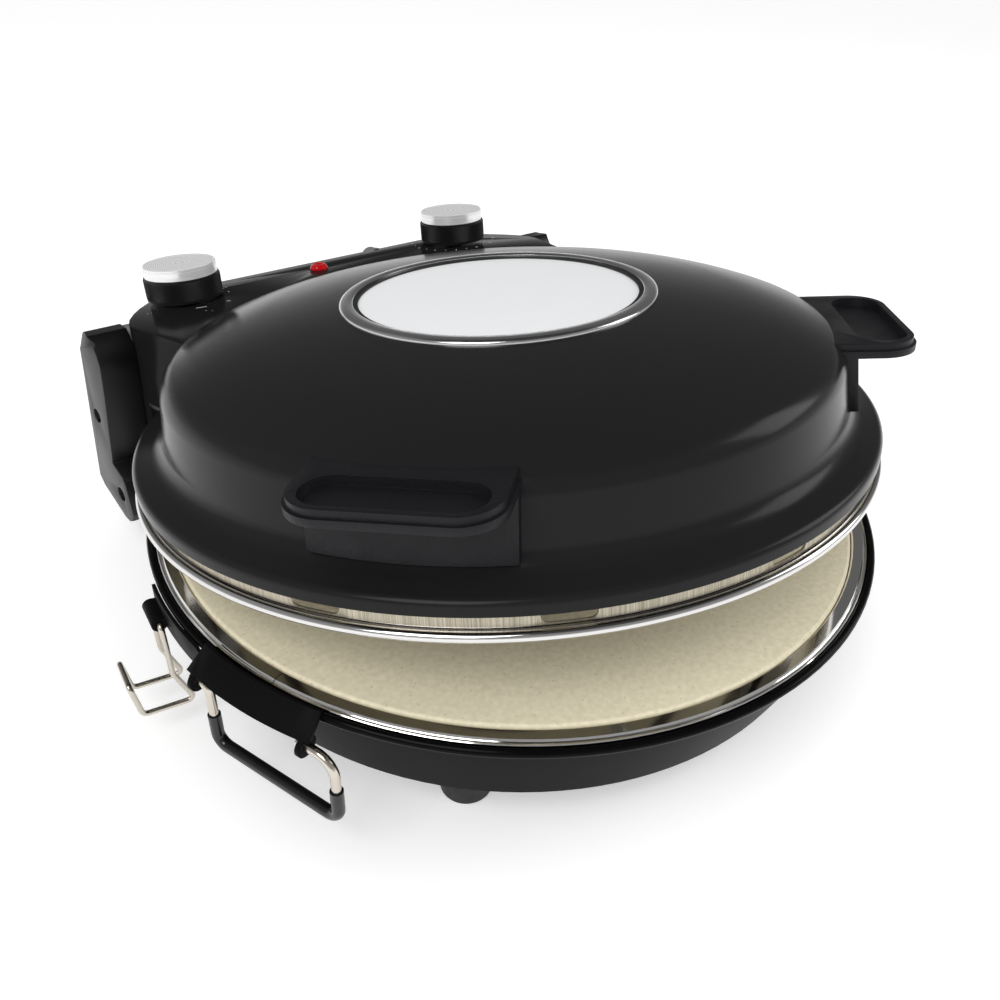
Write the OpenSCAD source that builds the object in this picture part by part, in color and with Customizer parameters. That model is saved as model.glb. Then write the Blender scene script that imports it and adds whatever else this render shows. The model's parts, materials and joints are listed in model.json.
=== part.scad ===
// Electric pizza maker: a round countertop cooker with a lid hinged at the rear.
// Millimetres, +Z up, the feet stand on z = 0, the front is -Y.
// Base parts are written about the bowl's axis; lid parts about the lid's own axis,
// with z = 0 at the middle of the lid's rolled bead.

/* [Frame] */
// Bowl axis to the frame's origin, along Y
frame_y = 16.5; // [0:0.1:40]
// Lid opening in the rest pose, degrees
lid_open = 7.79; // [0:0.01:80]
// Hinge axis in from the lid flange's edge
hinge_in = 13.2; // [10:0.1:20]
// Hinge axis above the table
hinge_z = 28.1; // [20:0.1:40]
// Bead plane above the table with the lid shut
lid_z0 = 74.3; // [70:0.1:80]

/* [Base] */
// Thickness of the bowl's sheet
bowl_t = 1.2; // [0.8:0.1:2]
// Middle of the bowl's floor sheet above the table
floor_z = 23.0; // [18:0.1:30]
// Radius of the bowl's flat floor
floor_r = 150.2; // [140:0.1:156]
// Radius where the bowl's wall starts
wall_r0 = 152.6; // [145:0.1:160]
// Radius where the bowl's wall ends
wall_r1 = 167.4; // [160:0.1:170]
// Height where the bowl's wall ends
wall_z1 = 64.0; // [60:0.1:66]
// Radius of the roll on the black rim
rim_roll = 1.8; // [1:0.1:3]
// Outer radius of the black rim
rim_r = 171.0; // [168:0.1:175]
// Height of the rim roll's middle
rim_z = 66.2; // [60:0.1:70]
// Stone radius
stone_r = 160.0; // [150:0.5:162]
// Stone thickness
stone_t = 12.0; // [8:0.5:16]
// Stone top above the table
stone_top = 69.4; // [60:0.1:75]
// Radius of the reflector band's bright edge
band_r = 167.4; // [160:0.1:170]
// Where the band's seam sits, degrees from the front
seam_az = 69.5; // [0:0.5:180]
// Radius of the circle of feet
foot_r = 130.8; // [100:0.1:140]
// Foot radius
foot_d2 = 11.0; // [8:0.5:16]
// Heating element tube diameter
elem_d = 6.5; // [5:0.1:8]
// Heating element ring radius
elem_r = 105.0; // [80:1:130]
// Lower element height
elem_z = 46.0; // [40:0.5:50]

/* [Hinge] */
// Hinge pin diameter
pin_d = 8.0; // [5:0.1:10]
// Radial running clearance of pins and wires
run_c = 0.05; // [0.01:0.01:0.1]
// Yoke sheet thickness
yoke_t = 2.5; // [2:0.1:4]
// Inner face of the hinge arms from the middle
arm_x = 126.0; // [120:0.5:130]
// Width of the arm at its hinge
arm_w = 20.4; // [15:0.1:25]

/* [Side bracket] */
// Bracket sheet thickness
br_t = 1.5; // [1:0.1:2]
// Middle of the bracket, degrees from the front
br_az = 71.0; // [60:0.5:80]
// Half its span, degrees
br_half = 10.0; // [8:0.5:12]
// Ear distance from the bracket's middle
ear_u = 27.5; // [20:0.1:32]
// Pivot radius of latch and bail
piv_v = 175.0; // [172:0.1:180]
// Bail pivot height
bail_z = 58.0; // [50:0.1:62]
// Bail wire diameter
bail_d = 3.75; // [3:0.05:5]
// Bail sleeve diameter
sleeve_d = 5.2; // [4:0.1:7]
// Latch knuckle, degrees from the front
latch_az = 95.0; // [90:0.5:100]
// Latch pivot height
latch_z = 57.0; // [50:0.1:62]
// Latch wire diameter
latch_d = 2.5; // [2:0.05:4]
// Half the spacing of the latch strands
latch_u = 9.0; // [7:0.1:12]

/* [Lid] */
// Lid sheet thickness
lid_t = 1.2; // [0.8:0.1:2]
// Outer radius of the lid's flange
flange_r = 168.3; // [165:0.1:172]
// Lower edge of the flange
flange_z = 7.0; // [5:0.1:10]
// Skirt's outer face in from the flange's edge
skirt_in = 2.8; // [2:0.1:4]
// Rolled bead's reach beyond the skirt
bead_out = 5.4; // [4.6:0.1:6.5]
// Number of slots in the skirt
slots = 12; // [6:1:24]
// Slot width
slot_w = 19.0; // [10:0.5:25]
// Window hole radius in the shell
hole_r = 66.5; // [60:0.1:70]
// Bezel outer radius
bezel_r = 70.9; // [68:0.1:75]
// Glass radius
glass_r = 64.9; // [60:0.1:66]
// Upper element height in the lid
elem_zu = 34.0; // [28:0.5:38]

/* [Handles] */
// Handle middle, degrees from the front
handle_az = 48.7; // [40:0.1:60]
// Half the handle's width
handle_u = 36.5; // [30:0.1:40]
// Reach of the handle from the lid's axis
handle_v = 177.0; // [172:0.1:185]
// Handle top
handle_z = 48.7; // [45:0.1:50]
// Handle thickness
handle_h = 5.7; // [5:0.1:10]
// Height of the handle's upper tier
tier_h = 2.7; // [2:0.1:3.5]

/* [Controls] */
// Top of the control housing
house_z = 48.0; // [45:0.1:50]
// Rear of the control housing behind the flange's edge
house_back = 13.7; // [12:0.1:20]
// Housing wall
house_t = 2.5; // [2:0.1:4]
// Knob distance from the middle
knob_x = 86.7; // [70:0.1:95]
// Knob's axis in from the flange's edge
knob_in = 4.7; // [3:0.1:8]
// Knob skirt radius
knob_r = 19.7; // [15:0.1:25]
// Knob cap radius
cap_r = 18.7; // [15:0.1:25]
// Knob cap top
cap_z = 67.2; // [60:0.1:75]
// Grips round the knob's skirt
grips = 48; // [24:1:72]

/* [Hidden] */
$fn = 96;
tan_w = (wall_r1 - wall_r0) / (wall_z1 - floor_z - 2.4);
cw = bowl_t / 2 * sqrt(1 + tan_w * tan_w);
pan_z = 55.4;
pan_t = 0.8;
pad_h = stone_top - stone_t - pan_z;
leg_x = 14;
ref_t = 0.6;
hinge_y = flange_r - hinge_in;
skirt_r = flange_r - skirt_in;
bead_r = skirt_r + bead_out;
bead_m = (bead_r - skirt_r) / 2;
house_y = flange_r + house_back;
knob_y = flange_r - knob_in;
control_r = house_back + knob_in - house_t - 2.4;

// Which sub-part to show

// ---- helpers -------------------------------------------------------------
function unit(v) = v / norm(v);
function arcp(c, r, a0, a1, n = 6) =
  [for (i = [0:n]) let (a = a0 + (a1 - a0) * i / n) c + r * [cos(a), sin(a)]];
function nl(a, b) = let (d = unit(b - a)) [-d[1], d[0]];
function off(p, t) = [for (i = [0:len(p) - 1])
  let (k = len(p), n1 = nl(p[max(i - 1, 0)], p[max(i - 1, 0) + 1]),
    n2 = nl(p[min(i, k - 2)], p[min(i, k - 2) + 1]))
  p[i] + t * (n1 + n2) / (1 + n1 * n2)];
function rev(p) = [for (i = [len(p) - 1:-1:0]) p[i]];
function bowl_r(z) = wall_r0 + (z - floor_z - 2.4) * tan_w;

module sheet(p, t) polygon(concat(off(p, t / 2), rev(off(p, -t / 2))));
module ring(r0, r1, z0, z1) rotate_extrude() translate([r0, z0]) square([r1 - r0, z1 - z0]);
module sector(a0, a1) rotate([0, 0, -90 - a1]) rotate_extrude(angle = a1 - a0) children();
module at_az(az) rotate([0, 0, 180 - az]) children();
module placed() translate([0, -frame_y, 0]) children();
module on_lid() placed() translate([0, hinge_y, hinge_z]) rotate([-lid_open, 0, 0])
  translate([0, -hinge_y, lid_z0 - hinge_z]) children();
module both() { children(); mirror([1, 0, 0]) children(); }

// Turns +X to ex and +Z to ez about the point o
module orient(o, ex, ez) {
  ey = cross(ez, ex);
  up = abs(ex[2]) > 0.9999;
  translate(o) rotate([up ? atan2(-ez[1], ey[1]) : atan2(ey[2], ez[2]), -asin(max(-1, min(1, ex[2]))),
    up ? 0 : atan2(ex[1], ex[0])]) children();
}
function side(z) = abs(z[0]) < 0.9 ? unit(cross([1, 0, 0], z)) : unit(cross([0, 1, 0], z));
module rod(a, b, d) orient(a, side(unit(b - a)), unit(b - a)) cylinder(d = d, h = norm(b - a), $fn = 32);
function turn(p, i) = acos(max(-1, min(1, unit(p[i] - p[i - 1]) * unit(p[i + 1] - p[i]))));
function cutl(p, i, rb) = (i <= 0 || i >= len(p) - 1) ? 0 : (is_list(rb) ? rb[i] : rb) * tan(turn(p, i) / 2);
module elbow(p, i, d, rb) {
  r = is_list(rb) ? rb[i] : rb;
  u1 = unit(p[i] - p[i - 1]);
  u2 = unit(p[i + 1] - p[i]);
  nn = unit(u2 - u1 * (u1 * u2));
  orient(p[i] - cutl(p, i, rb) * u1 + r * nn, -nn, cross(-nn, u1))
    rotate_extrude(angle = turn(p, i), $fn = 48) translate([r, 0]) circle(d = d, $fn = 32);
}
// Bent round bar through the points p, bend radius rb
module wire(p, d, rb) {
  for (i = [0:len(p) - 2]) let (u = unit(p[i + 1] - p[i]))
    rod(p[i] + cutl(p, i, rb) * u, p[i + 1] - cutl(p, i + 1, rb) * u, d);
  for (i = [1:len(p) - 2]) elbow(p, i, d, rb);
}
// Round bar along X between two places
module barx(x0, x1, y, z, r) translate([x0, y, z]) rotate([0, 90, 0]) cylinder(r = r, h = x1 - x0, $fn = 40);
module bary(y0, y1, x, z, r) translate([x, y0, z]) rotate([-90, 0, 0]) cylinder(r = r, h = y1 - y0, $fn = 40);

// ---- base ----------------------------------------------------------------
bowl_p = [[0, floor_z], [floor_r, floor_z], [wall_r0, floor_z + 2.4], [wall_r1, wall_z1]];
pan_p = [[0, 34], [118, 34], [150, 44], [156, pan_z - pan_t / 2], [163.1, pan_z - pan_t / 2]];
yoke_pts = [[60, 125], [25, 128]];
standoff_r = 70;
rivet_z = 49;
rivet_a = asin(9 / bowl_r(rivet_z));

module feet_at() for (a = [45:90:315]) rotate([0, 0, a]) translate([foot_r, 0, 0]) children();
module yoke_at() both() for (p = yoke_pts) translate([p[0], p[1], 0]) children();
module standoffs_at() for (a = [90:120:330]) rotate([0, 0, a]) translate([standoff_r, 0, 0]) children();
module rivet_at(z) for (s = [-1, 1]) at_az(br_az + s * rivet_a) translate([0, bowl_r(z), z])
  rotate([-90 - atan(tan_w), 0, 0]) children();
leg_r = 9;
leg_g = asin((leg_x + leg_r) / (elem_r + leg_r));
leg_y = (elem_r + leg_r) * cos(leg_g);
module legs(z, y1, d) for (s = [-1, 1]) bary(leg_y, y1, s * leg_x, z, d / 2);
// Ring with two tails that bend out to the rear, drawn in halves
module element(z, y1) both() {
  translate([0, 0, z]) rotate([0, 0, -90]) rotate_extrude(angle = 180 - leg_g)
    translate([elem_r, 0]) circle(d = elem_d, $fn = 32);
  translate([leg_x + leg_r, leg_y, z]) rotate([0, 0, 180]) rotate_extrude(angle = 90 - leg_g, $fn = 48)
    translate([leg_r, 0]) circle(d = elem_d, $fn = 32);
  bary(leg_y, y1, leg_x, z, elem_d / 2);
  bary(y1, y1 + 4, leg_x, z, 1.5);
}
module clip(z0, z1, z) difference() {
  translate([elem_r - 5, -0.75, z0]) cube([10, 1.5, z1 - z0]);
  translate([elem_r, 5, z]) rotate([90, 0, 0]) cylinder(d = elem_d, h = 10, $fn = 32);
}

module base_bowl() color("#3a3b3e") placed() difference() {
  rotate_extrude() sheet(bowl_p, bowl_t);
  feet_at() translate([0, 0, 20]) cylinder(r = 2, h = 8);
  yoke_at() translate([0, 0, 20]) cylinder(r = 2.5, h = 8);
  standoffs_at() translate([0, 0, 20]) cylinder(r = 2, h = 8);
  legs(elem_z, 170, elem_d + 0.6);
  both() rivet_at(rivet_z) translate([0, 0, -4]) cylinder(r = 1.6, h = 8);
  both() bary(150, 170, 24, elem_z, 1.5);
}
module rim_ring() color("#101012") placed() {
  rotate_extrude() sheet(concat([[wall_r1 - 2.48, wall_z1 - 3.35], [wall_r1 - 1.05, wall_z1 + 0.39],
    [wall_r1 - 0.2, wall_z1 + 1.4]], arcp([rim_r - rim_roll, rim_z], rim_roll - 0.5, 175, -120, 16)), 1.0);
}
module reflector_pan() color("#c9cacc") placed() difference() {
  rotate_extrude() sheet(pan_p, pan_t);
  legs(elem_z, 170, elem_d + 0.6);
  standoffs_at() translate([0, 0, 30]) cylinder(r = 2, h = 8);
}
module reflector_band() color("#d6d7d9") placed() difference() {
  rotate_extrude() sheet(concat([[161.2, pan_z + 0.15], [160.75, rim_z + 1.7], [161.2, rim_z + 2.3],
    [band_r - 2.4, rim_z + 2.3], [band_r - 1.9, rim_z + 1.7]],
    arcp([band_r - 0.8, rim_z + 1.1], 0.5, 160, -100, 8)), 0.6);
  at_az(seam_az) translate([-0.2, 150, 50]) cube([0.4, 30, 30]);
}
module pan_standoffs() color("#9fa1a4") placed() standoffs_at() difference() {
  translate([0, 0, floor_z + bowl_t / 2]) cylinder(r = 5, h = 34 - pan_t / 2 - floor_z - bowl_t / 2);
  translate([0, 0, 20]) cylinder(r = 2, h = 20);
}
module pan_screws() color("#85878a") placed() standoffs_at() {
  translate([0, 0, 34 + pan_t / 2]) cylinder(r = 3.6, h = 1.8);
  translate([0, 0, 21]) cylinder(r = 2, h = 14);
  translate([0, 0, floor_z - bowl_t / 2 - 1.4]) cylinder(r = 3.4, h = 1.4);
}
module lower_element() color("#6f6a64") placed() element(elem_z, 170.5);
module lower_clips() color("#a5a6a8") placed() for (a = [-90, 30, 150]) rotate([0, 0, a]) union() {
  clip(34 + pan_t / 2, 51, elem_z);
  translate([elem_r - 5, -5, 34 + pan_t / 2]) cube([10, 10, 1]);
}
module stone_supports() color("#a5a6a8") placed() for (a = [45:90:315]) rotate([0, 0, a]) union() {
  translate([150.5, -8, pan_z]) cube([10, 16, pad_h]);
  translate([150.5, -8, pan_z - 2.0]) cube([1.2, 16, 3]);
}
module pizza_stone() color("#dbd7bd") placed() difference() {
  translate([0, 0, stone_top - stone_t]) cylinder(r = stone_r, h = stone_t, $fn = 180);
  rotate_extrude($fn = 180) difference() {
    translate([stone_r - 1.5, stone_top - 1.5]) square(2);
    translate([stone_r - 1.5, stone_top - 1.5]) circle(r = 1.5);
  }
}
module feet() color("#161617") placed() feet_at() difference() {
  union() {
    translate([0, 0, 1]) cylinder(r = foot_d2, h = floor_z - bowl_t / 2 - 1);
    cylinder(r1 = foot_d2 - 1, r2 = foot_d2, h = 1);
  }
  translate([0, 0, -1]) cylinder(r = 4.5, h = 10);
  cylinder(r = 2, h = 30);
}
module foot_screws() color("#85878a") placed() feet_at() {
  translate([0, 0, 6.6]) cylinder(r = 4, h = 2.4);
  translate([0, 0, 7]) cylinder(r = 2, h = 20);
  translate([0, 0, floor_z + bowl_t / 2]) cylinder(r = 3.6, h = 2.6);
}
ear_x = 122.6;
module hinge_yoke() color("#1b1b1d") placed() difference() {
  union() {
    translate([-ear_x - 2.8, 112, floor_z - bowl_t / 2 - yoke_t]) cube([2 * ear_x + 5.6, 28, yoke_t]);
    both() {
      translate([ear_x, 112, floor_z - bowl_t / 2 - yoke_t]) cube([2.8, hinge_y - 112.1, 14]);
      barx(ear_x, ear_x + 2.8, hinge_y, hinge_z, 9);
      translate([ear_x, 112, floor_z - bowl_t / 2 - yoke_t]) cube([2.8, hinge_y - 112, 8]);
    }
  }
  yoke_at() cylinder(r = 2.5, h = 30);
  both() barx(110, 130, hinge_y, hinge_z, pin_d / 2);
  translate([0, 0, floor_z - bowl_t / 2]) cylinder(r = floor_r + 0.2, h = 2);
}
module yoke_screws() color("#85878a") placed() yoke_at() {
  translate([0, 0, floor_z - bowl_t / 2 - yoke_t - 2.4]) cylinder(r = 4.5, h = 2.4);
  translate([0, 0, floor_z - bowl_t / 2 - yoke_t - 1]) cylinder(r = 2.5, h = 10);
  translate([0, 0, floor_z + bowl_t / 2]) cylinder(r = 4, h = 3);
}
module hinge_pins() color("#8f9194") placed() both() {
  barx(ear_x - 3.4, ear_x, hinge_y, hinge_z, 6.5);
  barx(ear_x - 1, 140, hinge_y, hinge_z, pin_d / 2);
}
module bowl_solid(g) rotate_extrude() polygon([[0, floor_z - bowl_t / 2], [floor_r, floor_z - bowl_t / 2],
  [wall_r0 + cw + g, floor_z + 2.4], [wall_r1 + cw + g, wall_z1], [0, wall_z1]]);
module terminal_cover() color("#1b1b1d") placed() difference() {
  translate([-32, 150, 36]) cube([64, 27, 24]);
  translate([-30, 149, 38]) cube([60, 26, 20]);
  bowl_solid(0);
  both() bary(170, 180, 24, elem_z, 1.5);
}
module terminal_bolts() color("#85878a") placed() both() {
  bary(152, 178, 24, elem_z, 1.5);
  bary(177, 179, 24, elem_z, 3);
}
tab_p = [[173.3, 66.3], [bowl_r(56.9) + cw + 0.82, 56.9], [bowl_r(45.9) + cw + 0.82, 45.9]];
module bracket() {
  difference() {
    union() {
      sector(br_az - br_half, br_az + br_half)
        sheet([[169.3, 69.0], [170.2, 69.0], [179.0, 61.9]], br_t);
      sector(br_az - 4.6, br_az + 4.6) sheet(tab_p, br_t);
      at_az(br_az) for (s = [-1, 1]) translate([s * ear_u, 0, 0]) {
        translate([-0.9, piv_v - 3.6, bail_z]) cube([1.8, 4.1, 5.9]);
        barx(-0.9, 0.9, piv_v, bail_z, 4.6);
      }
      sector(br_az + br_half - 1, latch_az + 2.4) translate([172.2, latch_z - 1]) square([br_t, 11]);
      at_az(latch_az) barx(-7.2, 7.2, piv_v, latch_z, 3.3);
    }
    at_az(br_az) barx(-40, 40, piv_v, bail_z, bail_d / 2 + run_c);
    at_az(latch_az) barx(-12, 12, piv_v, latch_z, latch_d / 2 + run_c);
    rivet_at(rivet_z) cylinder(r = 1.6, h = 8);
  }
}
module bracket_left() color("#17171a") placed() bracket();
module bracket_right() color("#17171a") placed() mirror([1, 0, 0]) bracket();
module bracket_rivets() color("#1b1b1d") placed() both() rivet_at(rivet_z) {
  translate([0, 0, -2.2]) cylinder(r = 1.6, h = 5);
  translate([0, 0, -bowl_t / 2 - 1.4]) cylinder(r = 3, h = 1.1);
  translate([0, 0, bowl_t / 2 + br_t + 0.35]) cylinder(r = 3, h = 1.2);
}
// Bail: front leg outside its ear, rear leg inside its ear
ball = 1.08; // the wire's tight corners, a little fuller than the wire
bail_u0 = -41;
bail_u1 = 22;
bail_zb = 27.5;
bail_p = [for (q = [[bail_u0, bail_z], [bail_u0, bail_zb + 3.8], [bail_u0 + 3.6, bail_zb],
  [bail_u1 - 3.6, bail_zb],
  [bail_u1, bail_zb + 3.8], [bail_u1, bail_z]]) [q[0], piv_v, q[1]]];
// Bar from ball to ball through the points p
module balled(p, d) {
  for (i = [0:len(p) - 2]) rod(p[i], p[i + 1], d);
  for (q = p) translate(q) sphere(d = d * ball, $fn = 32);
}
function along(a, b, z) = a + (b - a) * (z - a[2]) / (b[2] - a[2]);
module bail_wire() at_az(br_az) {
  balled(bail_p, bail_d);
  for (x = [bail_u0, bail_u1]) barx(x, (x < 0 ? -1 : 1) * ear_u + 3.7, piv_v, bail_z, bail_d / 2);
}
module bail_sleeve() at_az(br_az) difference() {
  union() {
    for (i = [0:4]) rod(i == 0 ? along(bail_p[0], bail_p[1], 43.5) : bail_p[i],
      i == 4 ? along(bail_p[5], bail_p[4], 43) : bail_p[i + 1], sleeve_d);
    for (i = [1:4]) translate(bail_p[i]) sphere(d = sleeve_d * ball, $fn = 32);
  }
  balled(bail_p, bail_d);
}
module bail_wire_left() color("#c9c9c6") placed() bail_wire();
module bail_wire_right() color("#c9c9c6") placed() mirror([1, 0, 0]) bail_wire();
module bail_sleeve_left() color("#111113") placed() bail_sleeve();
module bail_sleeve_right() color("#111113") placed() mirror([1, 0, 0]) bail_sleeve();
latch_s = [[175, latch_z], [174.6, 31], [168.5, 15.0], [170.1, 12.9], [187.2, 14.0], [190.1, 16.7],
  [192.3, 31]];
module latch_wire() at_az(latch_az) {
  for (s = [-1, 1]) {
    balled([for (q = latch_s) [s * latch_u, q[0], q[1]]], latch_d);
    barx(s < 0 ? -latch_u : 0.6, s < 0 ? -0.6 : latch_u, piv_v, latch_z, latch_d / 2);
  }
  barx(-latch_u, latch_u, latch_s[6][0], latch_s[6][1], latch_d / 2);
}
module latch_wire_left() color("#c9c9c6") placed() latch_wire();
module latch_wire_right() color("#c9c9c6") placed() mirror([1, 0, 0]) latch_wire();

// ---- lid -----------------------------------------------------------------
sh_c = [flange_r - 29.2, 38];
sh_r = 12 - lid_t / 2;
c1_r = 176;
c1 = sh_c + (sh_r - c1_r) * [cos(68), sin(68)];
c2_r = 398.7;
c2 = c1 + (c1_r - c2_r) * [cos(80), sin(80)];
rl = flange_r - lid_t / 2;
shell_p = concat([[rl, flange_z], [rl, flange_z + 3.6], [rl - 0.5, flange_z + 5.2], [rl - 2.1, flange_z + 6],
  [rl - 4.3, flange_z + 6]], arcp([flange_r - 5.9, 24.5], 10, 255, 187), arcp(sh_c, sh_r, 8, 68),
  [for (a = [70:2:80]) c1 + c1_r * [cos(a), sin(a)]],
  [for (a = [81.5:1.5:84.5]) c2 + c2_r * [cos(a), sin(a)]],
  [[hole_r - 1, c2[1] + sqrt(c2_r * c2_r - pow(hole_r - 1 - c2[0], 2))]]);
crown_z = c2[1] + sqrt(c2_r * c2_r - pow(hole_r - c2[0], 2));
shell_in = off(shell_p, lid_t / 2);
shell_out = off(shell_p, -lid_t / 2);
ref_p = [[rl - 2.5, 12.1], [rl - 10.7, 12.1], [rl - 18.2, 20], [rl - 21.7, 36], [rl - 30.2, 44],
  [rl - 61.7, crown_z - 10.6],
  [hole_r + 11.5, crown_z - 5.9], [hole_r - 2.5, crown_z - 5.9]];
ht_u = 20;
ht_z = 41.2;

// Everything inside the lid's outer surface
module lid_solid() rotate_extrude()
  polygon(concat([[0, -5], [rl + lid_t / 2, -5]], shell_out, [[0, crown_z + 0.6]]));
module above_reflector() rotate_extrude() polygon(concat(off(ref_p, ref_t / 2), [[64, 80], [rl - 2.5, 80]]));
module handle_at(s) mirror([s < 0 ? 0 : 1, 0, 0]) at_az(handle_az) children();

module lid_shell() color("#19191b") on_lid() difference() {
  rotate_extrude($fn = 128) sheet(shell_p, lid_t);
  translate([0, 0, 50]) cylinder(r = hole_r + 0.05, h = 30);
  for (s = [-1, 1]) handle_at(s) for (u = [-ht_u, ht_u]) bary(140, 160, u, ht_z, 2);
  legs(elem_zu, 170, elem_d + 0.6);
  both() bary(140, 160, 40, 28, 2);
}
module lid_skirt() color("#bcb9b2") on_lid() difference() {
  rotate_extrude($fn = 128) sheet(concat([[skirt_r - 8, 11.4], [skirt_r - 1.5, 11.4], [skirt_r - 0.4, 10.2],
    [skirt_r - 0.4, 0.3]], arcp([skirt_r - 0.4 + bead_m, 0], bead_m, 180, 480, 20)), 0.8);
  for (i = [0:slots - 1]) at_az(i * 360 / slots) translate([0, skirt_r - 2.5, 0]) rotate([-90, 0, 0])
    linear_extrude(2.62) for (s = [-1, 1]) {
      translate([-slot_w / 2, -9]) square([slot_w, 4.6]);
      translate([s * (slot_w / 2 - 2.6), -4.4]) circle(r = 2.6, $fn = 32);
      translate([-slot_w / 2 + 2.6, -5]) square([slot_w - 5.2, 3.2]);
    }
}
module upper_reflector() color("#cfd0d2") on_lid() difference() {
  rotate_extrude() sheet(ref_p, ref_t);
  legs(elem_zu, 170, elem_d + 0.6);
}
module upper_element() color("#6f6a64") on_lid() element(elem_zu, 166);
module upper_clips() color("#a5a6a8") on_lid() difference() {
  for (a = [-90, 30, 150]) rotate([0, 0, a]) clip(elem_zu - 5, 60, elem_zu);
  above_reflector();
}
module window_glass() color("#dfe7ea", 0.35) on_lid()
  translate([0, 0, crown_z - 3.6]) cylinder(r = glass_r, h = 4);
module window_gasket() color("#141415") on_lid() rotate_extrude() difference() {
  translate([glass_r - 2.3, crown_z - 4.6]) square([hole_r - glass_r + 2.3, 5.8]);
  translate([0, crown_z - 3.6]) square([glass_r, 4]);
}
module window_bezel() color("#c3c4c6") on_lid() rotate_extrude() difference() {
  translate([0, crown_z]) polygon([[glass_r - 0.3, 1.2], [glass_r - 0.3, 1.9], [glass_r + 0.3, 2.4],
    [bezel_r - 1.7, 2.3],
    [bezel_r - 0.5, 1.7], [bezel_r, 0.9], [bezel_r, -0.4], [hole_r, -0.4], [hole_r, 1.2]]);
  polygon(concat(shell_out, [[hole_r, 50], [rl, 0]]));
}
module window_retainer() color("#a5a6a8") on_lid() difference() {
  union() {
    ring(hole_r - 3.3, hole_r + 8.5, crown_z - 5.6, crown_z - 4.6);
    for (a = [45:90:315]) rotate([0, 0, a])
      translate([hole_r + 4.7, 0, crown_z - 4.8]) cylinder(r = 2.6, h = 6);
  }
  rotate_extrude() polygon(concat(shell_in, [[hole_r, 80], [rl, 80]]));
}
module handle_2d(u, v0, v1, r) union() {
  translate([-u, v0]) square([2 * u, v1 - v0 - r]);
  translate([-u + r, v0]) square([2 * (u - r), v1 - v0]);
  for (s = [-1, 1]) translate([s * (u - r), v1 - r]) circle(r = r);
}
module handle() difference() {
  union() {
    translate([0, 0, handle_z - handle_h]) linear_extrude(handle_h - tier_h)
      handle_2d(handle_u, 138, handle_v, 16);
    translate([0, 0, handle_z - tier_h - 0.5]) linear_extrude(tier_h + 0.5)
      handle_2d(handle_u - 1.3, 138, handle_v - 1.3, 14.7);
    intersection() {
      translate([-handle_u, 138, 19.6]) cube([2 * handle_u, 32, handle_z - handle_h - 19.1]);
      translate([0, 0, 17]) cylinder(r1 = 157.9, r2 = 154.3, h = 28.5, $fn = 128);
    }
    for (u = [-ht_u, ht_u]) bary(146, 158, u, ht_z, 4);
  }
  translate([0, 0, handle_z - 3.8]) linear_extrude(6) union() {
    handle_2d(30.8, 162, handle_v - 4, 10);
    for (s = [-1, 1]) translate([s * 20.8, 162.3]) circle(r = 10);
    translate([-20.8, 152.3]) square([41.6, 12]);
  }
  lid_solid();
  for (u = [-ht_u, ht_u]) bary(140, 156, u, ht_z, 2);
}
module handle_left() color("#222224") on_lid() handle_at(-1) handle();
module handle_right() color("#222224") on_lid() handle_at(1) handle();
module handle_screws() color("#85878a") on_lid() for (s = [-1, 1]) handle_at(s) for (u = [-ht_u, ht_u]) {
  bary(145, 156, u, ht_z, 2);
  bary(143.6, 145.6, u, ht_z, 3);
}

// ---- controls ------------------------------------------------------------
plan = [for (q = [[0, 0], [84, 0], [91, -1.8], [98, -6], [105, -12.2], [112, -19.6], [118, -28], [123, -37],
  [arm_x, -46], [arm_x, -53], [116.4, -97], [104, -123]]) [q[0], house_y + q[1]]];
plan_in = off(plan, -house_t);
boss_pts = [[58, house_y - 9], [106, house_y - 31]];
lamp_p = [-6.5, house_y - 16.5];
lamp_z = elem_zu + elem_d / 2 + 1;
gland_p = [42, 41.4];
arm_sy = hinge_y - 10.1;

module plan_half(p) polygon(concat(p, [[0, p[len(p) - 1][1]]]));
module lip_clear() translate([0, 0, -20]) cylinder(r = flange_r + 0.2, h = flange_z + 25.8 - 6);
module control_housing() color("#19191b") on_lid() difference() {
  union() {
    difference() {
      both() translate([0, 0, 8]) linear_extrude(house_z - 8) plan_half(plan);
      both() translate([0, 0, 7]) linear_extrude(house_z - house_t - 7) plan_half(plan_in);
    }
    both() {
      translate([arm_x - 9, 134, -12]) cube([9, 34, 52]);
      for (p = boss_pts) translate([p[0], p[1], 8]) cylinder(r = 4, h = house_z - 9);
      bary(148, 158, 40, 28, 5);
      translate([38.5, 148, 28]) cube([3, 10, house_z - 29]);
    }
  }
  lid_solid();
  lip_clear();
  both() {
    translate([knob_x, knob_y, 40]) cylinder(r = 5.2, h = 20);
    for (p = boss_pts) translate([p[0], p[1], 0]) cylinder(r = 1.5, h = 20);
    bary(140, 158, 40, 28, 2);
    barx(110, 130, hinge_y + 4.4, -1.3, 2.5);
    for (z = [18, 34]) barx(110, 130, arm_sy, z, 2);
  }
  translate([lamp_p[0], lamp_p[1], 40]) cylinder(r = 4, h = 20);
  bary(175, 190, gland_p[0], gland_p[1], 3.6);
}
module housing_cover() color("#19191b") on_lid() difference() {
  both() translate([0, 0, 6]) linear_extrude(2) plan_half(plan);
  translate([0, 0, -20]) cylinder(r = flange_r + 0.2, h = 40);
  both() translate([arm_x - 9, 134, -12]) cube([9, 34, 52]);
  both() for (p = boss_pts) translate([p[0], p[1], 0]) cylinder(r = 1.5, h = 20);
}
module cover_screws() color("#85878a") on_lid() both() for (p = boss_pts) translate([p[0], p[1], 0]) {
  translate([0, 0, 4.2]) cylinder(r = 3.2, h = 1.8);
  translate([0, 0, 5]) cylinder(r = 1.5, h = 15);
}
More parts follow.
